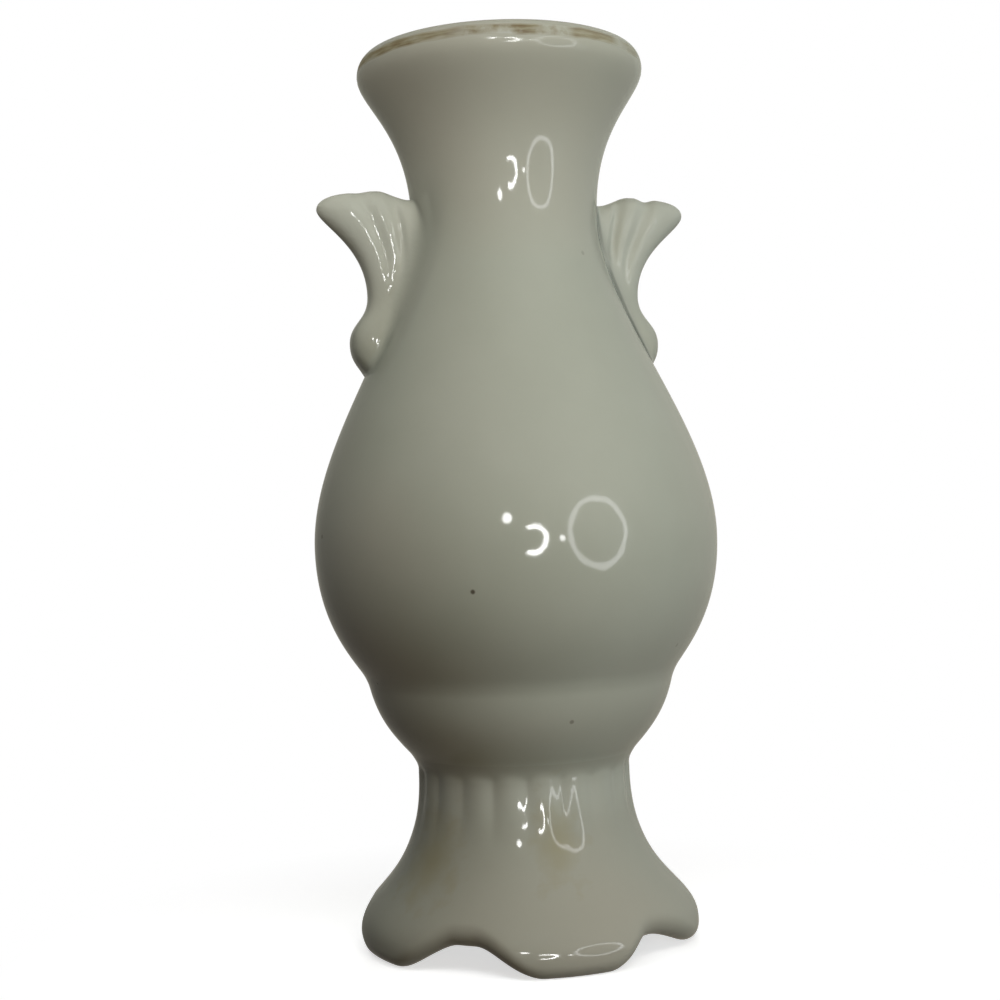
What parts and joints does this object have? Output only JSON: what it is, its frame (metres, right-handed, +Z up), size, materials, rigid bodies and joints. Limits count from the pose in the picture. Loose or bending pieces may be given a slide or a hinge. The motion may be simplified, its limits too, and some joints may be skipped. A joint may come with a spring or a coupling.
{
  "type": "bud vase",
  "caption": "Small footed baluster vase of glazed porcelain with shell handles on the shoulders and a reeded, scalloped pedestal foot; holds a few short stems in water.",
  "frame": {"origin": "On the table under the middle of the vase, where its axis meets the plane of the foot's pads.", "axes": "+Z up along the axis of the vase, X through the two handles, -Y towards the viewer."},
  "size_m": [0.0582, 0.0582, 0.128],
  "materials": {
    "glaze": "glossy pale grey-green glaze on white porcelain"
  },
  "bodies": {
    "root": {"vase_body": "glaze", "pedestal_foot": "glaze", "handle_left": "glaze", "handle_right": "glaze"}
  },
  "joints": []
}
